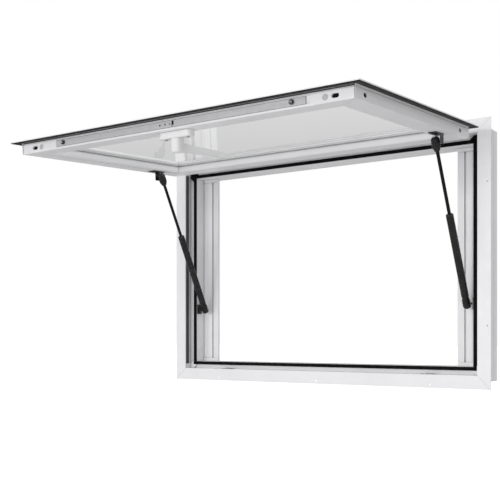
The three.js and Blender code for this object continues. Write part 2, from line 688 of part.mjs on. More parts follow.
const baseShape = roundedRect(BASE_LENGTH, HUB_SIZE, HUB_CORNER);
const basePlate = sashPlate(baseShape, BASE_BACK, BASE_BACK + BASE_T);
const boreY = [depthY(BASE_BACK - 1), depthY(BASE_BACK + BASE_T + 1)];
const baseBore = rod('y', ...boreY, 7.3, [HANDLE_X, spindleZ], 20);
addTo(sash, 'handle_base', cutBy(basePlate, baseBore), whitePlastic());
[-29, 29].forEach((x) => {
  const head = lathed([[0, 0], [3.4, 0], [3.4, 0.9], [2.2, 1.7], [0, 1.7]], 14).rotateX(-Math.PI / 2);
  head.translate(HANDLE_X + x, depthY(BASE_BACK + BASE_T) + GAP, spindleZ);
  addTo(sash, `handle_screw_${x < 0 ? 'left' : 'right'}`, head, brightSteel());
});

// side view of the lever in (height from the spindle, depth), drawn with its point towards the hinge
const hub = sashPlate(roundedRect(HUB_SIZE, HUB_SIZE, HUB_CORNER), BASE_BACK + BASE_T + GAP, HUB_END);
const collar = rod('y', depthY(BASE_BACK + 0.5), boreY[1], 6.8, [HANDLE_X, spindleZ], 20);
const bladeSide = [
  [0, 52],
  [0.4 * LEVER_LENGTH, 53.5],
  [LEVER_LENGTH - 6, 54.5],
  [LEVER_LENGTH, 56],
  [LEVER_LENGTH, 59.5],
  [LEVER_LENGTH - 8, 62],
  [0.8 * LEVER_LENGTH, 65.5],
  [0.65 * LEVER_LENGTH, 67],
  [0.5 * LEVER_LENGTH, 66.5],
  [0.34 * LEVER_LENGTH, 66],
  [0.16 * LEVER_LENGTH, 68],
  [0, HUB_END - 0.5],
];
const bladeFace = new THREE.Shape();
bladeFace.moveTo(-9, 0);
bladeFace.lineTo(9, 0);
bladeFace.lineTo(7, LEVER_LENGTH - 7);
bladeFace.absarc(0, LEVER_LENGTH - 7, 7, 0, Math.PI, false);
bladeFace.lineTo(-9, 0);
const bladeSlab = extruded(bladeFace, 30).rotateX(Math.PI / 2).translate(HANDLE_X, depthY(75), spindleZ);
const bladeWedge = toGeometry(toSolid(bladeSlab).intersect(toSolid(wedgeFrom(bladeSide))));

// the side outline as a solid: height becomes Z and depth becomes Y
function wedgeFrom(outline) {
  const solid = extruded(outline, 40);
  const place = solid.attributes.position;
  for (let i = 0; i < place.count; i += 1) {
    place.setXYZ(i, HANDLE_X + 20 - place.getZ(i), depthY(place.getY(i)), spindleZ + place.getX(i));
  }
  return solid;
}

addTo(sash, 'handle_lever', joined(hub, collar, bladeWedge), whitePlastic());

const SPINDLE_HALF = 3.5;
const spindle = block(HANDLE_X - SPINDLE_HALF, HANDLE_X + SPINDLE_HALF, depthY(8), depthY(BASE_BACK + 0.2),
  spindleZ - SPINDLE_HALF, spindleZ + SPINDLE_HALF);
const pinionOutline = [];
for (let tooth = 0; tooth < PINION_TEETH; tooth += 1) {
  const middle = (tooth / PINION_TEETH) * Math.PI * 2 - Math.PI / 2;
  const root = PINION_PITCH_R - 1.5;
  const tip = PINION_PITCH_R + 0.6;
  [[-0.24, root], [-0.07, tip], [0.07, tip], [0.24, root]].forEach(([swingBy, radius]) => {
    pinionOutline.push([radius * Math.cos(middle + swingBy), radius * Math.sin(middle + swingBy)]);
  });
}
const pinion = extruded(pinionOutline, RACK_DEPTH.to - RACK_DEPTH.from).rotateX(Math.PI / 2);
pinion.translate(HANDLE_X, depthY(RACK_DEPTH.to), spindleZ);
addTo(sash, 'lock_pinion', joined(spindle, pinion), brightSteel());

// ---------------------------------------------------------------------------------------------
// Gas struts, drawn along Z from the lower ball and then leaned to the open sash
// ---------------------------------------------------------------------------------------------

const openBall = new THREE.Vector3(0, depthY(UPPER_BALL_DEPTH) - PIN_Y, BALL_Z - PIN_Z);
openBall.applyAxisAngle(new THREE.Vector3(1, 0, 0), -OPEN_ANGLE).add(new THREE.Vector3(0, PIN_Y, PIN_Z));
const reachY = openBall.y - LOWER_BALL.y;
const reachZ = openBall.z - LOWER_BALL.z;
const STRUT_LENGTH = Math.hypot(reachY, reachZ);

const tubeProfile = [
  [0, TUBE_START],
  [TUBE_R - 1, TUBE_START],
  [TUBE_R, TUBE_START + 1],
  [TUBE_R, TUBE_END - 8],
  [TUBE_R - 1.4, TUBE_END - 8],
  [TUBE_R - 1.4, TUBE_START + 3],
  [0, TUBE_START + 3],
];
const glandProfile = [
  [ROD_R + GAP, TUBE_END - 16],
  [TUBE_R - 1.8, TUBE_END - 16],
  [TUBE_R - 1.8, TUBE_END - 7.6],
  [TUBE_R, TUBE_END - 7.6],
  [TUBE_R, TUBE_END - 2],
  [TUBE_R - 2, TUBE_END],
  [ROD_R + GAP, TUBE_END],
  [ROD_R + GAP, TUBE_END - 16],
];
const ROD_END = STRUT_LENGTH - 24;
const rodProfile = [
  [0, TUBE_END - 30],
  [TUBE_R - 2, TUBE_END - 30],
  [TUBE_R - 2, TUBE_END - 22],
  [ROD_R, TUBE_END - 22],
  [ROD_R, ROD_END],
  [0, ROD_END],
];
const lowerSocketProfile = [
  [0, -12.5],
  [5.5, -12.5],
  [SOCKET_R - 1, -10],
  [SOCKET_R, -7],
  [SOCKET_R, 11],
  [SOCKET_R - 1.2, 13],
  [SOCKET_R - 1.6, TUBE_START - GAP],
  [0, TUBE_START - GAP],
];
const upperSocketProfile = [
  [0, ROD_END + GAP],
  [6, ROD_END + GAP],
  [10, STRUT_LENGTH - 14],
  [10, STRUT_LENGTH + 4],
  [6.5, STRUT_LENGTH + 9],
  [0, STRUT_LENGTH + 9],
];

for (const left of [true, false]) {
  const side = left ? 'left' : 'right';
  const outward = left ? -1 : 1;
  const strut = new THREE.Group();
  strut.position.set(outward * ballX, LOWER_BALL.y, LOWER_BALL.z);
  strut.rotation.x = -Math.atan2(reachY, reachZ);
  assembly.add(strut);
  addTo(strut, `strut_tube_${side}`, lathed(tubeProfile), blackSteel());
  addTo(strut, `strut_gland_${side}`, lathed(glandProfile), blackSteel());
  addTo(strut, `strut_rod_${side}`, lathed(rodProfile, 16), blackSteel());
  addTo(strut, `strut_lower_socket_${side}`, lathed(lowerSocketProfile, 20), blackSteel());
  const seat = new THREE.SphereGeometry(BALL_R + 0.35, 16, 10).translate(0, 0, STRUT_LENGTH);
  const mouth = rod('x', left ? -12 : 0, left ? 0 : 12, 4, [0, STRUT_LENGTH], 16);
  const upper = cutBy(lathed(upperSocketProfile, 20), joined(seat, mouth));
  addTo(strut, `strut_upper_socket_${side}`, upper, blackSteel());
}

export default assembly;
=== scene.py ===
import json
import math

import bmesh
import bpy
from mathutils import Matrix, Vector


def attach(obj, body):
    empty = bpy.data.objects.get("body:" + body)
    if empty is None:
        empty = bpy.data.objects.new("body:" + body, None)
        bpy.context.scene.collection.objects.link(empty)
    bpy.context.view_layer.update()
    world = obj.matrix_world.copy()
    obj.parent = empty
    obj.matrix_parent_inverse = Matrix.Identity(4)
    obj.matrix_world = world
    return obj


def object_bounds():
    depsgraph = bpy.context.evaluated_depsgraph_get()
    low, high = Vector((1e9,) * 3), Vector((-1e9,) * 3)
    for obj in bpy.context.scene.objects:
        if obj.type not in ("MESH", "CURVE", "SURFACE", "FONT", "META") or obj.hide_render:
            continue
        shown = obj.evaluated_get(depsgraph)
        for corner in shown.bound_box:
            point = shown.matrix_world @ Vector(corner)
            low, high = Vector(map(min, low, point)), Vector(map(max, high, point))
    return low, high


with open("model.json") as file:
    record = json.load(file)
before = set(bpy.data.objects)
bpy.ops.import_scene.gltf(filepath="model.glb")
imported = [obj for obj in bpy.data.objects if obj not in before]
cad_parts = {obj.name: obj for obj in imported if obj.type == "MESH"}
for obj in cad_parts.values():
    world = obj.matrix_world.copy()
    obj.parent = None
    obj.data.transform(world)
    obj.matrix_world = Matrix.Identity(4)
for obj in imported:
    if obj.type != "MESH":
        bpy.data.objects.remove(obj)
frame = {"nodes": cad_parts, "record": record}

CAD_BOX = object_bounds()
NODES = frame["nodes"]

# ------------------------------------------------------------------------------------------------
# Camera, floor and light
# ------------------------------------------------------------------------------------------------

CAMERA_PLACE = Vector((1.162, -2.018, 0.129))
CAMERA_AZIMUTH = math.radians(34.26)
CAMERA_LENS = 62.9
CAMERA_SENSOR = 36.0
CAMERA_SHIFT_Y = 0.1705
FLOOR_DROP = 0.42  # below the lowest point of the object
FLOOR_REACH = 40.0
FLOOR_TONE = 0.8
FLOOR_ROUGHNESS = 0.9
FLOOR_SPECULAR = 0.1
FLOOR_GLOW = 0.75  # added to what the camera sees of the floor, so that it meets the backdrop
BACKDROP_LIGHT = 1.0  # the white that the camera sees behind the object
ROOM_LIGHT = 0.66  # the soft light that the surroundings throw on the object
MIRRORED_ROOM = 0.22  # the surroundings as they look in glass and gloss
WHITE = (1.0, 1.0, 1.0, 1.0)
LIGHT_TARGET = (0.0, -0.3, 0.35)
KEY_LIGHT = {"place": (-1.4, -6.0, 0.55), "size": (3.0, 1.4), "power": 94.0}
TOP_LIGHT = {"place": (0.4, -0.6, 3.4), "size": (2.6, 2.6), "power": 62.0}


def make_camera():
    data = bpy.data.cameras.new("camera")
    data.lens = CAMERA_LENS
    data.sensor_width = CAMERA_SENSOR
    data.shift_y = CAMERA_SHIFT_Y
    camera = bpy.data.objects.new("camera", data)
    bpy.context.scene.collection.objects.link(camera)
    camera.location = CAMERA_PLACE
    look = Vector((-math.sin(CAMERA_AZIMUTH), math.cos(CAMERA_AZIMUTH), 0.0))
    camera.rotation_mode = "QUATERNION"
    camera.rotation_quaternion = look.to_track_quat("-Z", "Y")
    bpy.context.scene.camera = camera


def lit_for_camera(tree, seen, unseen):
    """The seen shader for what the camera sees directly, and the unseen one for light that bounces."""
    nodes = tree.nodes
    path = nodes.new("ShaderNodeLightPath")
    mix = nodes.new("ShaderNodeMixShader")
    tree.links.new(path.outputs["Is Camera Ray"], mix.inputs["Fac"])
    tree.links.new(unseen, mix.inputs[1])
    tree.links.new(seen, mix.inputs[2])
    return mix.outputs["Shader"]


def mirrored_as(tree, mirrored, other):
    """The mirrored shader in reflections, and the other one for soft light."""
    nodes = tree.nodes
    path = nodes.new("ShaderNodeLightPath")
    mix = nodes.new("ShaderNodeMixShader")
    tree.links.new(path.outputs["Is Glossy Ray"], mix.inputs["Fac"])
    tree.links.new(other, mix.inputs[1])
    tree.links.new(mirrored, mix.inputs[2])
    return mix.outputs["Shader"]


def make_floor():
    mesh = bpy.data.meshes.new("floor")
    height = CAD_BOX[0].z - FLOOR_DROP
    signs = ((-1, -1), (1, -1), (1, 1), (-1, 1))
    corners = [(x * FLOOR_REACH, y * FLOOR_REACH, height) for x, y in signs]
    mesh.from_pydata(corners, [], [(0, 1, 2, 3)])
    floor = bpy.data.objects.new("floor", mesh)
    bpy.context.scene.collection.objects.link(floor)
    paint = bpy.data.materials.new("floor_paint")
    paint.use_nodes = True
    tree = paint.node_tree
    shader = tree.nodes["Principled BSDF"]
    shader.inputs["Base Color"].default_value = (FLOOR_TONE, FLOOR_TONE, FLOOR_TONE, 1.0)
    shader.inputs["Roughness"].default_value = FLOOR_ROUGHNESS
    shader.inputs["Specular IOR Level"].default_value = FLOOR_SPECULAR
    glow = tree.nodes.new("ShaderNodeEmission")
    glow.inputs["Strength"].default_value = FLOOR_GLOW
    bright = tree.nodes.new("ShaderNodeAddShader")
    tree.links.new(shader.outputs["BSDF"], bright.inputs[0])
    tree.links.new(glow.outputs["Emission"], bright.inputs[1])
    dark = tree.nodes.new("ShaderNodeEmission")
    dark.inputs["Strength"].default_value = MIRRORED_ROOM
    bounced = mirrored_as(tree, dark.outputs["Emission"], shader.outputs["BSDF"])
    surface = lit_for_camera(tree, bright.outputs["Shader"], bounced)
    tree.links.new(surface, tree.nodes["Material Output"].inputs["Surface"])
    floor.data.materials.append(paint)


def area_light(name, place, size, power):
    """A soft rectangular light that faces the object."""
    data = bpy.data.lights.new(name, "AREA")
    data.shape = "RECTANGLE"
    data.size, data.size_y = size
    data.energy = power
    light = bpy.data.objects.new(name, data)
    bpy.context.scene.collection.objects.link(light)
    light.location = place
    light.rotation_mode = "QUATERNION"
    light.rotation_quaternion = (Vector(LIGHT_TARGET) - Vector(place)).to_track_quat("-Z", "Y")


def make_light():
    world = bpy.data.worlds.new("studio")
    world.use_nodes = True
    tree = world.node_tree
    backdrop = tree.nodes["Background"]
    backdrop.inputs["Color"].default_value = WHITE
    backdrop.inputs["Strength"].default_value = BACKDROP_LIGHT
    room = tree.nodes.new("ShaderNodeBackground")
    room.inputs["Color"].default_value = WHITE
    room.inputs["Strength"].default_value = ROOM_LIGHT
    dark = tree.nodes.new("ShaderNodeBackground")
    dark.inputs["Strength"].default_value = MIRRORED_ROOM
    bounced = mirrored_as(tree, dark.outputs["Background"], room.outputs["Background"])
    surface = lit_for_camera(tree, backdrop.outputs["Background"], bounced)
    tree.links.new(surface, tree.nodes["World Output"].inputs["Surface"])
    bpy.context.scene.world = world
    area_light("key_light", **KEY_LIGHT)
    area_light("top_light", **TOP_LIGHT)
    bpy.context.scene.view_settings.view_transform = "Standard"


# ------------------------------------------------------------------------------------------------
# Materials
# ------------------------------------------------------------------------------------------------

GLASS_TINT = (0.965, 0.967, 0.966)
GLASS_TINT_THICK = (0.957, 0.96, 0.959)
GLASS_IOR = 1.45
CREVICE_SHADE_REACH = 0.008
CREVICE_SHADE_SAMPLES = 8
PAINT_CREVICE_SHADE = 0.45  # painted shade: the share of the colour that is left in the tightest corners
GUIDE_CREVICE_SHADE = 0.2  # the same painted shade in the guides' deep grooves


class Paint:
    """A procedural material, built up from a Principled shader."""

    def __init__(self, name, color, roughness, metallic=0.0, specular=0.5):
        self.material = bpy.data.materials.new(name)
        self.material.use_nodes = True
        self.nodes = self.material.node_tree.nodes
        self.links = self.material.node_tree.links
        self.shader = self.nodes["Principled BSDF"]
        self.shader.inputs["Metallic"].default_value = metallic
        self.shader.inputs["Specular IOR Level"].default_value = specular
        self.color = color
        self.roughness = roughness
        self.place = self.nodes.new("ShaderNodeTexCoord").outputs["Object"]
        self.height = None

    def noise(self, scale, detail=3.0, rough=0.5, stretch=None):
        place = self.place
        if stretch:
            mapping = self.nodes.new("ShaderNodeMapping")
            mapping.inputs["Scale"].default_value = stretch
            self.links.new(place, mapping.inputs["Vector"])
            place = mapping.outputs["Vector"]
        noise = self.nodes.new("ShaderNodeTexNoise")
        noise.inputs["Scale"].default_value = scale
        noise.inputs["Detail"].default_value = detail
        noise.inputs["Roughness"].default_value = rough
        self.links.new(place, noise.inputs["Vector"])
        return noise.outputs["Fac"]

    def spread(self, source, low, high, out_low, out_high):
        ramp = self.nodes.new("ShaderNodeMapRange")
        ramp.inputs["From Min"].default_value = low
        ramp.inputs["From Max"].default_value = high
        ramp.inputs["To Min"].default_value = out_low
        ramp.inputs["To Max"].default_value = out_high
        self.links.new(source, ramp.inputs["Value"])
        return ramp.outputs["Result"]

    def vary_color(self, source, other, low=0.35, high=0.65):
        mix = self.nodes.new("ShaderNodeMix")
        mix.data_type = "RGBA"
        self.links.new(self.spread(source, low, high, 0.0, 1.0), mix.inputs["Factor"])
        mix.inputs["A"].default_value = (*self.color, 1.0)
        mix.inputs["B"].default_value = (*other, 1.0)
        self.links.new(mix.outputs["Result"], self.shader.inputs["Base Color"])

    def paint_crevice_shade(self, reach, darkest):
        """Painted shade: darkens the colour where other surfaces crowd round within this reach."""
        occlusion = self.nodes.new("ShaderNodeAmbientOcclusion")
        occlusion.samples = CREVICE_SHADE_SAMPLES
        occlusion.inputs["Distance"].default_value = reach
        factor = self.spread(occlusion.outputs["AO"], 0.1, 0.6, darkest, 1.0)
        shade = self.nodes.new("ShaderNodeMix")
        shade.data_type = "RGBA"
        shade.blend_type = "MULTIPLY"
        shade.inputs["Factor"].default_value = 1.0
        base = self.shader.inputs["Base Color"]
        self.links.new(base.links[0].from_socket, shade.inputs["A"])
        self.links.new(factor, shade.inputs["B"])
        self.links.new(shade.outputs["Result"], base)

    def vary_roughness(self, source, swing, low=0.3, high=0.7):
        value = self.spread(source, low, high, self.roughness - swing, self.roughness + swing)
        self.links.new(value, self.shader.inputs["Roughness"])

    def bump(self, source, depth, strength=1.0):
        bump = self.nodes.new("ShaderNodeBump")
        bump.inputs["Distance"].default_value = depth
        bump.inputs["Strength"].default_value = strength
        self.links.new(source, bump.inputs["Height"])
        if self.height:
            self.links.new(self.height, bump.inputs["Normal"])
        self.height = bump.outputs["Normal"]
        self.links.new(self.height, self.shader.inputs["Normal"])


def powder_coat(name, darkest):
    paint = Paint(name, (0.83, 0.825, 0.84), 0.38)
    paint.vary_color(paint.noise(9.0, 2.0), (0.80, 0.797, 0.812))
    # painted shade: the colour darkens in corners and crevices
    paint.paint_crevice_shade(CREVICE_SHADE_REACH, darkest)
    paint.vary_roughness(paint.noise(40.0, 4.0), 0.06)
    paint.bump(paint.noise(900.0, 2.0), 0.00006, 0.5)
    return paint.material


def grey_anodised():
    paint = Paint("grey_anodised", (0.40, 0.41, 0.43), 0.45, metallic=0.35)
    paint.vary_color(paint.noise(30.0, 3.0), (0.36, 0.37, 0.39))
    paint.vary_roughness(paint.noise(300.0, 3.0, stretch=(1.0, 1.0, 0.05)), 0.08)
    paint.bump(paint.noise(2500.0, 2.0, stretch=(1.0, 1.0, 0.02)), 0.00002, 0.4)
    return paint.material


def bar_finish():
    paint = Paint("lock_bar_zinc", (0.55, 0.548, 0.565), 0.45, metallic=0.1)
    paint.vary_color(paint.noise(60.0, 4.0), (0.51, 0.508, 0.525))
    paint.vary_roughness(paint.noise(300.0, 3.0, stretch=(0.05, 1.0, 1.0)), 0.1)
    paint.bump(paint.noise(2500.0, 2.0, stretch=(0.02, 1.0, 1.0)), 0.00002, 0.4)
    return paint.material


def black_rubber():
    paint = Paint("black_rubber", (0.003, 0.003, 0.0032), 0.7, specular=0.12)
    paint.vary_color(paint.noise(60.0, 4.0), (0.006, 0.006, 0.0065))
    paint.vary_roughness(paint.noise(160.0, 4.0), 0.1)
    paint.bump(paint.noise(2200.0, 3.0), 0.00008, 0.6)
    return paint.material


def black_steel():
    paint = Paint("black_paint", (0.016, 0.016, 0.017), 0.26, specular=0.6)
    paint.vary_color(paint.noise(40.0, 3.0), (0.022, 0.022, 0.023))
    paint.vary_roughness(paint.noise(120.0, 4.0), 0.07)
    paint.bump(paint.noise(1500.0, 2.0), 0.00004, 0.4)
    return paint.material


def rod_finish():
    paint = Paint("nitrided_rod", (0.012, 0.012, 0.014), 0.25, metallic=0.5)
    paint.vary_color(paint.noise(90.0, 3.0), (0.02, 0.02, 0.023))
    paint.vary_roughness(paint.noise(220.0, 3.0), 0.05)
    paint.bump(paint.noise(3000.0, 2.0), 0.00001, 0.3)
    return paint.material


def bright_steel():
    paint = Paint("zinc_plate", (0.60, 0.61, 0.62), 0.3, metallic=0.9)
    paint.vary_color(paint.noise(140.0, 4.0), (0.5, 0.51, 0.53))
    paint.vary_roughness(paint.noise(260.0, 3.0), 0.1)
    paint.bump(paint.noise(1800.0, 3.0), 0.00003, 0.4)
    return paint.material


def cast_zinc():
    paint = Paint("cast_zinc", (0.42, 0.43, 0.44), 0.5, metallic=0.8)
    paint.vary_color(paint.noise(120.0, 4.0), (0.34, 0.345, 0.36))
    paint.vary_roughness(paint.noise(240.0, 4.0), 0.1)
    paint.bump(paint.noise(1400.0, 4.0), 0.0001, 0.6)
    return paint.material


def white_plastic():
    paint = Paint("white_nylon", (0.84, 0.84, 0.845), 0.42)
    paint.vary_color(paint.noise(14.0, 3.0), (0.80, 0.80, 0.805))
    paint.vary_roughness(paint.noise(90.0, 3.0), 0.05)
    paint.bump(paint.noise(2600.0, 2.0), 0.00007, 0.5)
    return paint.material


def clear_glass():
    """Thin clear glass: light passes straight through it, and its front faces reflect by Fresnel."""
    paint = Paint("float_glass", (1.0, 1.0, 1.0), 0.02)
    nodes = paint.nodes
    through = nodes.new("ShaderNodeBsdfTransparent")
    tint = nodes.new("ShaderNodeMix")
    tint.data_type = "RGBA"
    tint.inputs["A"].default_value = (*GLASS_TINT, 1.0)
    tint.inputs["B"].default_value = (*GLASS_TINT_THICK, 1.0)
    paint.links.new(paint.spread(paint.noise(3.0, 2.0), 0.3, 0.7, 0.0, 1.0), tint.inputs["Factor"])
    paint.links.new(tint.outputs["Result"], through.inputs["Color"])
    mirror = nodes.new("ShaderNodeBsdfGlossy")
    paint.links.new(paint.spread(paint.noise(18.0, 4.0), 0.3, 0.7, 0.01, 0.035), mirror.inputs["Roughness"])
    fresnel = nodes.new("ShaderNodeFresnel")
    fresnel.inputs["IOR"].default_value = GLASS_IOR
    side = nodes.new("ShaderNodeNewGeometry")
    front = nodes.new("ShaderNodeMath")
    front.operation = "SUBTRACT"
    front.inputs[0].default_value = 1.0
    paint.links.new(side.outputs["Backfacing"], front.inputs[1])
    share = nodes.new("ShaderNodeMath")
    share.operation = "MULTIPLY"
    paint.links.new(fresnel.outputs["Fac"], share.inputs[0])
    paint.links.new(front.outputs["Value"], share.inputs[1])
    mix = nodes.new("ShaderNodeMixShader")
    paint.links.new(share.outputs["Value"], mix.inputs["Fac"])
    paint.links.new(through.outputs["BSDF"], mix.inputs[1])
    paint.links.new(mirror.outputs["BSDF"], mix.inputs[2])
    paint.links.new(mix.outputs["Shader"], nodes["Material Output"].inputs["Surface"])
    nodes.remove(paint.shader)
    return paint.material


def seal_strip():
    paint = Paint("seal_strip", (0.07, 0.07, 0.072), 0.6, specular=0.2)
    paint.vary_color(paint.noise(50.0, 4.0), (0.085, 0.085, 0.087))
    paint.vary_roughness(paint.noise(160.0, 4.0), 0.1)
    paint.bump(paint.noise(1800.0, 3.0), 0.00008, 0.6)
    return paint.material


def black_roller():
    paint = Paint("black_nylon", (0.02, 0.02, 0.021), 0.35, specular=0.4)
    paint.vary_color(paint.noise(90.0, 3.0), (0.035, 0.035, 0.036))
    paint.vary_roughness(paint.noise(200.0, 3.0), 0.08)
    paint.bump(paint.noise(2400.0, 2.0), 0.00003, 0.4)
    return paint.material


def glazing_rubber_painted_light():
    """Painted light: the outer glazing rubber is given a pale colour that lightens the shaded recess between
    the pane and the bead's lip, so that it is seen through the pane as a light line.
    """
    paint = Paint("glazing_rubber_painted_light", (0.80, 0.80, 0.80), 0.6, specular=0.3)
    paint.vary_color(paint.noise(50.0, 4.0), (0.75, 0.75, 0.75))
    paint.vary_roughness(paint.noise(160.0, 4.0), 0.1)
    paint.bump(paint.noise(1800.0, 3.0), 0.00008, 0.6)
    return paint.material


def plug_plastic():
    paint = Paint("plug_plastic", (0.56, 0.555, 0.57), 0.5)
    paint.vary_color(paint.noise(90.0, 3.0), (0.5, 0.495, 0.51))
    paint.vary_roughness(paint.noise(200.0, 3.0), 0.08)
    paint.bump(paint.noise(2400.0, 2.0), 0.00003, 0.4)
    return paint.material


FINISHES = {
    "white_paint": powder_coat("white_powder_coat", PAINT_CREVICE_SHADE),
    "grey_paint": grey_anodised(),
    "white_plastic": white_plastic(),
    "black_rubber": black_rubber(),
    "black_steel": black_steel(),
    "strut_rod": rod_finish(),
    "bright_steel": bright_steel(),
    "cast_zinc": cast_zinc(),
    "clear_glass": clear_glass(),
    "seal_strip": seal_strip(),
}


def finish_cad_nodes():
    """Gives each CAD node the finish of its slot, or one of its own."""
    slots = {part["node"]: part["material_slot"] for part in frame["record"]["subparts"]}
    roller = black_roller()
    plug = plug_plastic()
    # the guides' copy of the powder coat, with deeper painted shade in its grooves
    guide = powder_coat("guide_painted_shade_coat", GUIDE_CREVICE_SHADE)
    own = {
        "jamb_guide_left": guide,
        "jamb_guide_right": guide,
        "lock_bar": bar_finish(),
        "sash_seal": FINISHES["seal_strip"],
        "glazing_rubber_outer": glazing_rubber_painted_light(),
        "lock_roller_left": roller,
        "lock_roller_right": roller,
        "edge_plug_left": plug,
        "edge_plug_right": plug,
    }
    for name, node in NODES.items():
        finish = own.get(name) or FINISHES[slots[name]]
        for place in node.material_slots:
            place.material = finish


# ------------------------------------------------------------------------------------------------
# Rounded edges and smooth barrels on the CAD nodes
# ------------------------------------------------------------------------------------------------

SMOOTH_ANGLE = math.radians(32.0)
FLAT_ANGLE = math.radians(0.5)
WELD = 0.00001
EDGE_SEGMENTS = 2
# radius of the rounded edges, by the start of the node's name: the first that fits is used
EDGE_ROUND = {
    "handle_lever": 0.0016,
    "handle_base": 0.0016,
    "corner_piece": 0.0009,
    "guide_cap": 0.0005,
    "frame": 0.0006,
    "sash_seal": 0.0,
    "sash": 0.0006,
    "glazing_bead": 0.0006,
    "gasket": 0.0005,
    "jamb_guide": 0.0005,
    "keeper": 0.0005,
    "hinge": 0.0004,
    "strut_bracket": 0.0004,
    "strut_mount": 0.0005,
    "strut_upper_socket": 0.0008,
    "strut_lower_socket": 0.0008,
    "strut": 0.0003,
    "lock_bar": 0.0003,
    "lock_roller": 0.0003,
    "handle_screw": 0.0002,
    "edge_plug": 0.0002,
}


def smoothing_group():
    """Geometry nodes that weld a node's corners and shade it smooth, except over sharp edges."""
    group = bpy.data.node_groups.new("smooth_by_angle", "GeometryNodeTree")
    group.interface.new_socket("Geometry", in_out="INPUT", socket_type="NodeSocketGeometry")
    group.interface.new_socket("Geometry", in_out="OUTPUT", socket_type="NodeSocketGeometry")
    nodes = group.nodes
    source = nodes.new("NodeGroupInput")
    weld = nodes.new("GeometryNodeMergeByDistance")
    weld.inputs["Distance"].default_value = WELD
    faces = nodes.new("GeometryNodeSetShadeSmooth")
    faces.domain = "FACE"
    edges = nodes.new("GeometryNodeSetShadeSmooth")
    edges.domain = "EDGE"
    edges.inputs["Shade Smooth"].default_value = False
    angle = nodes.new("GeometryNodeInputMeshEdgeAngle")
    sharp = nodes.new("FunctionNodeCompare")
    sharp.data_type = "FLOAT"
    sharp.operation = "GREATER_THAN"
    sharp.inputs["B"].default_value = SMOOTH_ANGLE
    target = nodes.new("NodeGroupOutput")
    link = group.links.new
    link(source.outputs["Geometry"], weld.inputs["Geometry"])
    link(weld.outputs["Geometry"], faces.inputs["Geometry"])
    link(faces.outputs["Geometry"], edges.inputs["Geometry"])
    link(angle.outputs["Unsigned Angle"], sharp.inputs["A"])
    link(sharp.outputs["Result"], edges.inputs["Selection"])
    link(edges.outputs["Geometry"], target.inputs["Geometry"])
    return group


def soften_cad_nodes():
    group = smoothing_group()
    for name, node in NODES.items():
        if name == "glass_pane":
            continue
        smooth = node.modifiers.new("smooth", "NODES")
        smooth.node_group = group
        width = next((size for start, size in EDGE_ROUND.items() if name.startswith(start)), 0.0)
        if width == 0.0:
            continue
        flat = node.modifiers.new("flat_faces", "DECIMATE")
        flat.decimate_type = "DISSOLVE"
        flat.angle_limit = FLAT_ANGLE
        edge = node.modifiers.new("round_edges", "BEVEL")
        edge.limit_method = "ANGLE"
        edge.angle_limit = SMOOTH_ANGLE
        edge.width = width
        edge.segments = EDGE_SEGMENTS
        edge.use_clamp_overlap = True
        normals = node.modifiers.new("normals", "WEIGHTED_NORMAL")
        normals.keep_sharp = True


# ------------------------------------------------------------------------------------------------
# Pieces that the CAD model is too plain for
# ------------------------------------------------------------------------------------------------

# The closed sash: insets run in from its plate's edge, and depths run back from its outer face.
HINGE_PIN = Vector((0.0, -0.024, 0.636))
OPEN_ANGLE = math.radians(86.6)
SASH_HALF = (0.457, 0.305)
SASH_MIDDLE_Z = 0.322
SASH_FACE_Y = -0.0055
SEAL_FACE = 0.0028
SEAL_TOP = 0.00335
SEAL_BITE = 0.0002  # how far the lip and the ribs sink into the seal
SEAL_LIP = (0.0014, 0.0027)
SEAL_RIBS = [(0.0056, 0.0062), (0.0084, 0.0090), (0.0112, 0.0118), (0.0140, 0.0146)]


def opened(point):
    """A point of the closed sash, swung to where the open sash is."""
    arm = Vector(point) - HINGE_PIN
    cos = math.cos(OPEN_ANGLE)
    sin = math.sin(OPEN_ANGLE)
    return HINGE_PIN + Vector((arm.x, arm.y * cos + arm.z * sin, -arm.y * sin + arm.z * cos))


def sash_ring(mesh, inset0, inset1, depth0, depth1):
    """Adds a four-sided ring to the bmesh, given from the sash plate's edge and outer face."""
    loops = []
    for inset, depth in ((inset0, depth0), (inset1, depth0), (inset1, depth1), (inset0, depth1)):
        x = SASH_HALF[0] - inset
        z = SASH_HALF[1] - inset
        y = SASH_FACE_Y + depth
        corners = [(-x, y, SASH_MIDDLE_Z - z), (x, y, SASH_MIDDLE_Z - z), (x, y, SASH_MIDDLE_Z + z),
                   (-x, y, SASH_MIDDLE_Z + z)]
        loops.append([mesh.verts.new(opened(corner)) for corner in corners])
    count = len(loops)
    for i in range(count):
        for j in range(count):
            after_i = (i + 1) % count
            after_j = (j + 1) % count
            mesh.faces.new((loops[i][j], loops[i][after_j], loops[after_i][after_j], loops[after_i][j]))


def new_piece(name, mesh, finish, body):
    """Turns the bmesh into a piece that moves with the body."""
    bmesh.ops.recalc_face_normals(mesh, faces=mesh.faces)
    data = bpy.data.meshes.new(name)
    mesh.to_mesh(data)
    mesh.free()
    piece = bpy.data.objects.new(name, data)
    bpy.context.scene.collection.objects.link(piece)
    data.materials.append(finish)
    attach(piece, body)


ROLLER_X = 0.3035
ROLLER_DEPTH = 0.0155
ROLLER_FACE_Z = 0.0343
# radius of the rivet head, and its height over the roller's face
HEAD_PROFILE = [(0.0, 0.0), (0.0014, 0.0), (0.0021, -0.0004), (0.0026, -0.0004), (0.0026, 0.0006)]
HEAD_STEPS = 24
HEAD_WELD = 0.000001

BLOCK_FACES = ((0, 1, 3, 2), (4, 6, 7, 5), (0, 4, 5, 1), (2, 3, 7, 6), (0, 2, 6, 4), (1, 5, 7, 3))
BLOCK_ROUND = 0.00015
FRAME_HALF = 0.474
SHADE_STRIP_HEIGHT = (0.046, 0.598)
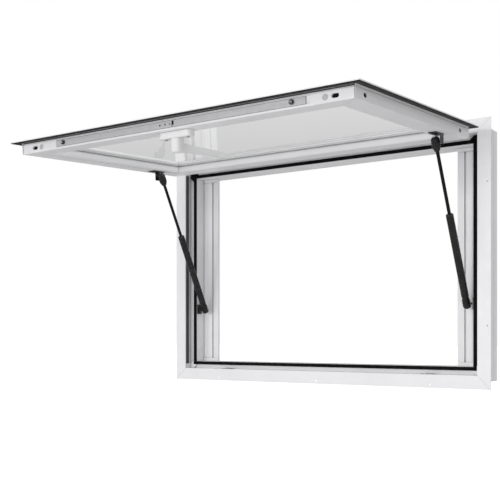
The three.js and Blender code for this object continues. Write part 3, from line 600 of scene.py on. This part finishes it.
# painted shade on the jambs' channel walls: each strip's insets from the frame's edge, its depths behind the
# flange's face, and its finish
CHANNEL_SHADE_STRIPS = {
    "channel_shade_band": ((0.0331, 0.0340), (0.0010, 0.0140), "seal_strip"),
    "channel_shade_line": ((0.0331, 0.0336), (0.0190, 0.0210), "black_rubber"),
}
# painted shade: a grey strip in the corner under the sash plate
UNDER_PLATE_SHADE = {"half": 0.436, "z": (0.0380, 0.0384), "depth": (0.0024, 0.0050)}
# painted shade: dark sheets inside the sash's hollows, behind the drain slots
STILE_HOLLOW_SHADE = {"inset": (0.0213, 0.0218), "half": 0.27}
RAIL_HOLLOW_SHADE = {"x": (0.384, 0.408), "z": (0.0441, 0.0446)}
HOLLOW_SHADE_DEPTH = (0.0090, 0.0250)


def rounded_block(spans, place=Vector):
    """A thin block over these spans of x, y and z, with each corner put where place says."""
    mesh = bmesh.new()
    corners = [mesh.verts.new(place((x, y, z))) for x in sorted(spans[0]) for y in spans[1] for z in spans[2]]
    for face in BLOCK_FACES:
        mesh.faces.new([corners[i] for i in face])
    bmesh.ops.recalc_face_normals(mesh, faces=mesh.faces)
    bmesh.ops.bevel(mesh, geom=mesh.edges[:], offset=BLOCK_ROUND, segments=2, affect="EDGES", profile=0.5)
    return mesh


def make_channel_shade_strips():
    """Dark strips on the jambs' channel walls: painted shade for the shadow that falls in the channels."""
    for side, end in ((-1, "left"), (1, "right")):
        for kind, (insets, depths, finish) in CHANNEL_SHADE_STRIPS.items():
            xs = [side * (FRAME_HALF - inset) for inset in insets]
            mesh = rounded_block((xs, depths, SHADE_STRIP_HEIGHT))
            new_piece(f"{kind}_{end}", mesh, FINISHES[finish], "frame")


def make_under_plate_shade():
    """Painted shade: a grey strip along the bottom rail's edge face, in the corner under the plate, where the
    plate's shadow falls.
    """
    half = UNDER_PLATE_SHADE["half"]
    depths = [SASH_FACE_Y + depth for depth in UNDER_PLATE_SHADE["depth"]]
    mesh = rounded_block(((-half, half), depths, UNDER_PLATE_SHADE["z"]), opened)
    new_piece("sash_edge_shade_strip", mesh, FINISHES["seal_strip"], "sash")


def make_drain_hollow_shade():
    """Painted shade: dark sheets in the hollows, behind the drain slots, for the shadow inside the hollows.
    """
    depths = [SASH_FACE_Y + depth for depth in HOLLOW_SHADE_DEPTH]
    height = (SASH_MIDDLE_Z - STILE_HOLLOW_SHADE["half"], SASH_MIDDLE_Z + STILE_HOLLOW_SHADE["half"])
    for side, end in ((-1, "left"), (1, "right")):
        xs = [side * (SASH_HALF[0] - inset) for inset in STILE_HOLLOW_SHADE["inset"]]
        mesh = rounded_block((xs, depths, height), opened)
        new_piece(f"stile_drain_shade_{end}", mesh, FINISHES["black_rubber"], "sash")
        xs = [side * x for x in RAIL_HOLLOW_SHADE["x"]]
        mesh = rounded_block((xs, depths, RAIL_HOLLOW_SHADE["z"]), opened)
        new_piece(f"rail_drain_shade_{end}", mesh, FINISHES["black_rubber"], "sash")


def make_roller_heads():
    """The bright rivet heads that hold the lock rollers, each a little proud of its roller's face."""
    for side in (-1, 1):
        mesh = bmesh.new()
        rings = []
        for radius, rise in HEAD_PROFILE:
            ring = []
            for step in range(HEAD_STEPS):
                turn = math.tau * step / HEAD_STEPS
                x = side * ROLLER_X + radius * math.cos(turn)
                y = SASH_FACE_Y + ROLLER_DEPTH + radius * math.sin(turn)
                ring.append(mesh.verts.new(opened((x, y, ROLLER_FACE_Z + rise))))
            rings.append(ring)
        for inner, outer in zip(rings, rings[1:]):
            for step in range(HEAD_STEPS):
                after = (step + 1) % HEAD_STEPS
                mesh.faces.new((inner[step], inner[after], outer[after], outer[step]))
        bmesh.ops.remove_doubles(mesh, verts=mesh.verts, dist=HEAD_WELD)
        for face in mesh.faces:
            face.smooth = True
        name = "roller_head_left" if side < 0 else "roller_head_right"
        new_piece(name, mesh, FINISHES["bright_steel"], "lock_bar")


def make_seal_ribs():
    """The dark lip and the fine ribs that run round the sash seal."""
    lip = ("sash_seal_lip", [SEAL_LIP], "black_rubber")
    ribs = ("sash_seal_ribs", SEAL_RIBS, "seal_strip")
    for name, rings, finish in (lip, ribs):
        mesh = bmesh.new()
        for inset0, inset1 in rings:
            sash_ring(mesh, inset0, inset1, SEAL_FACE - SEAL_BITE, SEAL_TOP)
        new_piece(name, mesh, FINISHES[finish], "sash")


make_camera()
make_floor()
make_light()
finish_cad_nodes()
soften_cad_nodes()
make_seal_ribs()
make_roller_heads()
make_channel_shade_strips()
make_under_plate_shade()
make_drain_hollow_shade()
